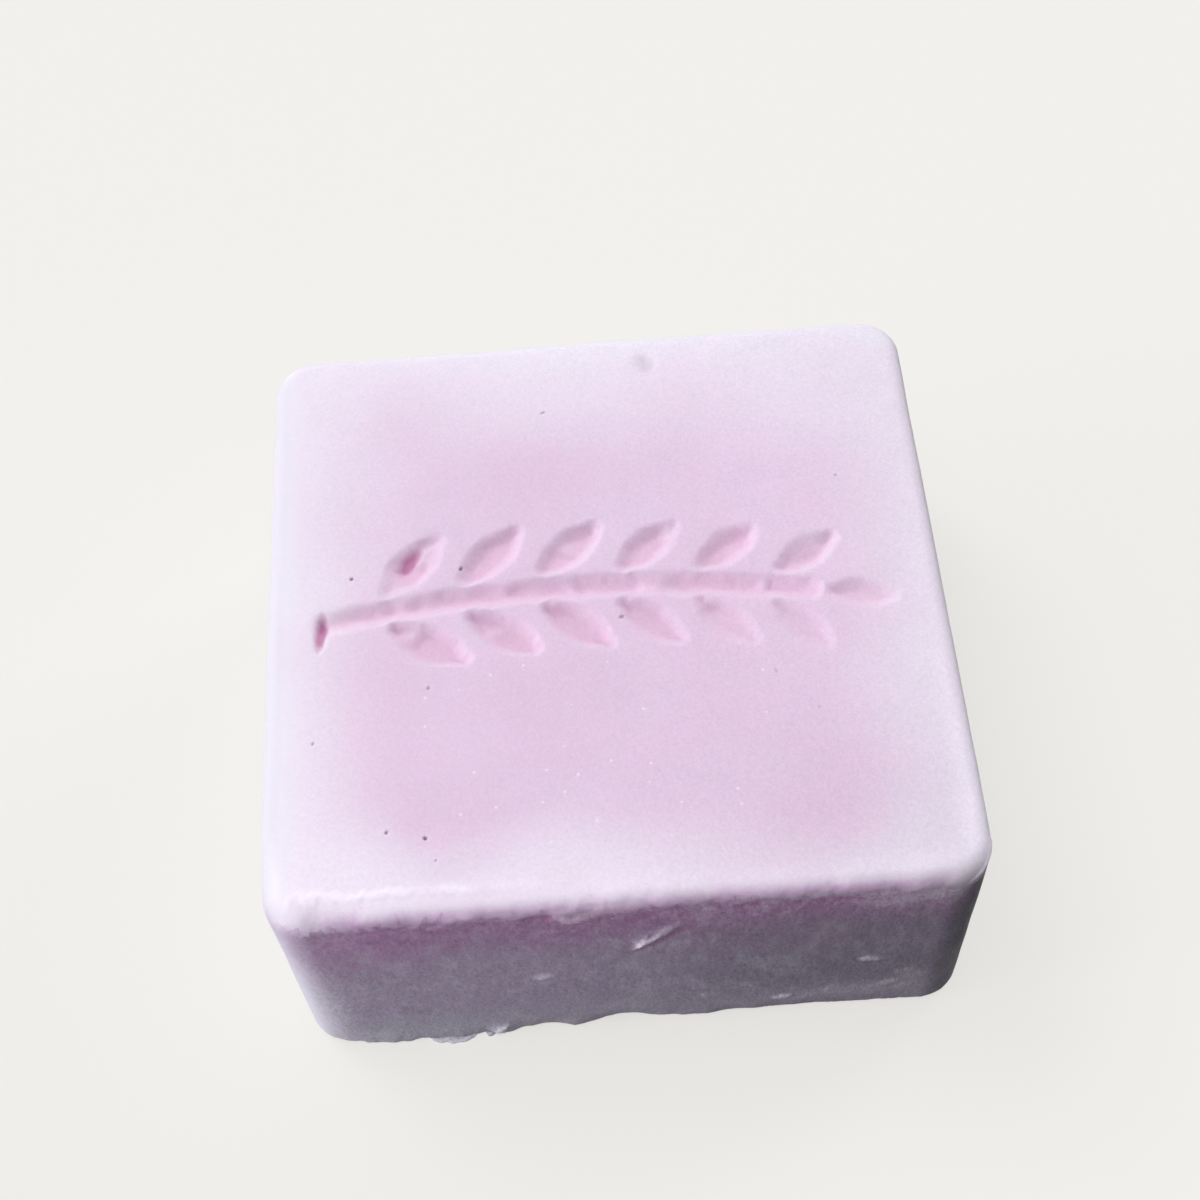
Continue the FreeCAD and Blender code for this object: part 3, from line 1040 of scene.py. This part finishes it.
def waxMaterial():
    material = bpy.data.materials.new("castWax")
    material.use_nodes = True
    tree = material.node_tree
    shader = tree.nodes["Principled BSDF"]
    at = waxPlaces(tree)
    colour, bloom = faceColour(tree, at)
    colour, atCorner, side = edgeColour(at, colour)
    colour = blend(side, colour, sideColour(at, atCorner))
    # red tears, and painted shade in the holes, dents, groove and crease
    for name, amount in [("tearAndShade", 0.9), ("holeShade", 1)]:
        colour = tint(times(mark(tree, name), amount), colour, name)
    colour, pale = addPale(tree, at, colour)
    value, calm = evenness(at, side)
    toned = put(tree, "ShaderNodeHueSaturation", {"Color": colour, "Value": value})
    tree.links.new(toned.outputs[0], shader.inputs["Base Color"])

    fine, patch = at["fine"], at["patch"]
    height = timesPlus(fine, waxLook["grainHeight"], times(at["dust"], waxLook["dustHeight"]))
    height = times(timesPlus(patch, waxLook["patchHeight"], height), calm)
    bump = put(tree, "ShaderNodeBump", {
        "Height": height, "Distance": 1, "Strength": waxLook["bumpStrength"]})
    tree.links.new(bump.outputs[0], shader.inputs["Normal"])
    roughness = remap(plus(fine, patch), -0.3, 0.3, *waxLook["roughness"])
    tree.links.new(roughness, shader.inputs["Roughness"])
    shader.inputs["IOR"].default_value = waxLook["refraction"]
    shader.inputs["Specular IOR Level"].default_value = waxLook["specular"]
    solid = timesPlus(pale, -0.85, timesPlus(bloom, -0.75, 1))
    solid = times(solid, minus(1, side))
    scatter = put(tree, "ShaderNodeMath", {0: solid, 1: waxLook["translucency"]},
                  operation="MULTIPLY", use_clamp=True)
    tree.links.new(scatter.outputs[0], shader.inputs["Subsurface Weight"])
    shader.inputs["Subsurface Radius"].default_value = waxLook["scatterColour"]
    shader.inputs["Subsurface Scale"].default_value = waxLook["scatter"]
    return material


# Camera
cameraSet = {
    "lens": 59.9,
    "sensor": 36,
    "clip": (1 * mm, 10),
    "aim": (-0.45 * mm, -0.62 * mm),  # beside the middle of the upper face
    "distance": 182.3 * mm,
    "azimuth": -0.12,  # degrees round from the front
    "elevation": 55.97,
    "roll": 4.23,
}


def placeCamera():
    data = bpy.data.cameras.new("camera")
    data.lens = cameraSet["lens"]
    data.sensor_width = cameraSet["sensor"]
    data.clip_start, data.clip_end = cameraSet["clip"]
    camera = addObject("camera", data)
    azimuth = math.radians(cameraSet["azimuth"])
    elevation = math.radians(cameraSet["elevation"])
    back = Vector((math.sin(azimuth) * math.cos(elevation), -math.cos(azimuth) * math.cos(elevation),
                   math.sin(elevation)))
    aim = Vector((*cameraSet["aim"], high.z))
    turn = (-back).to_track_quat("-Z", "Y").to_matrix()
    turn = turn @ Matrix.Rotation(math.radians(-cameraSet["roll"]), 3, "Z")
    camera.matrix_world = Matrix.Translation(aim + back * cameraSet["distance"]) @ turn.to_4x4()
    bpy.context.scene.camera = camera


# Floor, backdrop and light
stageSet = {
    "floorSide": 4,
    "paleColour": (0.88, 0.87, 0.84, 1),
    "leftColour": (0.55, 0.55, 0.58, 1),  # what the floor throws back on the bar
    "rightColour": (0.04, 0.04, 0.04, 1),
    "colourRun": (-60 * mm, 50 * mm),  # from the left colour to the right one
    "glow": 0.75,  # share of the pale colour that no shadow reaches
    "leftSky": 0.26,
    "rightSky": 0.02,
    "skyRun": (-0.7, 0.6),
    # name, where from, strength, spread in degrees
    "lamps": [("keyLamp", (-0.58, 0.48, 1), 1.15, 35), ("topLamp", (-0.06, -0.14, 1), 1.25, 40),
              ("leftLamp", (-1, -0.12, 0.20), 1.35, 24), ("rimLamp", (0.85, 0.75, 0.38), 1.15, 30)],
}


def seenDirectly(tree):
    # 1 for what the camera sees, also by reflection or through glass
    path = put(tree, "ShaderNodeLightPath").outputs
    return most(most(path["Is Camera Ray"], path["Is Glossy Ray"]), path["Is Transmission Ray"])


def mixShader(share, first, second):
    return put(first.id_data, "ShaderNodeMixShader", {0: share, 1: first.outputs[0], 2: second.outputs[0]})


def placeFloor():
    data = bpy.data.meshes.new("floor")
    side = stageSet["floorSide"] / 2
    data.from_pydata([(-side, -side, low.z), (side, -side, low.z), (side, side, low.z), (-side, side, low.z)],
                     [], [(0, 1, 2, 3)])
    floor = addObject("floor", data)
    material = bpy.data.materials.new("paleFloor")
    material.use_nodes = True
    tree = material.node_tree
    tree.nodes.clear()
    seen = seenDirectly(tree)
    pale = put(tree, "ShaderNodeBsdfDiffuse", {"Color": stageSet["paleColour"]})
    glow = put(tree, "ShaderNodeEmission", {"Color": stageSet["paleColour"], "Strength": 1})
    pale = mixShader(stageSet["glow"], pale, glow)
    across = apart(put(tree, "ShaderNodeTexCoord").outputs["Object"])[0]
    across = remap(across, *stageSet["colourRun"])
    dim = blend(across, stageSet["leftColour"], stageSet["rightColour"])
    dim = put(tree, "ShaderNodeBsdfDiffuse", {"Color": dim})
    put(tree, "ShaderNodeOutputMaterial", {"Surface": mixShader(seen, dim, pale).outputs[0]})
    data.materials.append(material)


def placeSky():
    world = bpy.data.worlds.new("studio")
    world.use_nodes = True
    tree = world.node_tree
    tree.nodes.clear()
    seen = seenDirectly(tree)
    pale = put(tree, "ShaderNodeBackground", {"Color": stageSet["paleColour"], "Strength": 1})
    way = apart(put(tree, "ShaderNodeTexCoord").outputs["Generated"])[0]
    strength = remap(way, *stageSet["skyRun"], stageSet["leftSky"], stageSet["rightSky"], kind="LINEAR")
    dim = put(tree, "ShaderNodeBackground", {"Color": (1, 1, 1, 1), "Strength": strength})
    put(tree, "ShaderNodeOutputWorld", {"Surface": mixShader(seen, dim, pale).outputs[0]})
    bpy.context.scene.world = world


def placeLamps():
    for name, whence, strength, spread in stageSet["lamps"]:
        light = bpy.data.lights.new(name, "SUN")
        light.energy = strength
        light.angle = math.radians(spread)
        addObject(name, light).rotation_euler = Vector(whence).to_track_quat("Z", "Y").to_euler()


placeCamera()
placeFloor()
placeSky()
placeLamps()
print("stage: camera, floor and light placed")
wax = waxMaterial()
bar = makeBlock()
print("stage: block made,", len(bar.data.polygons), "faces")
grow(bar, sinkTree(wax), dict(sprig, Level=high.z))
print("stage: sprig sunk,", len(bar.data.polygons), "faces")
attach(bar, "root")
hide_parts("bar")

scene = bpy.context.scene
scene.view_settings.view_transform = "Standard"
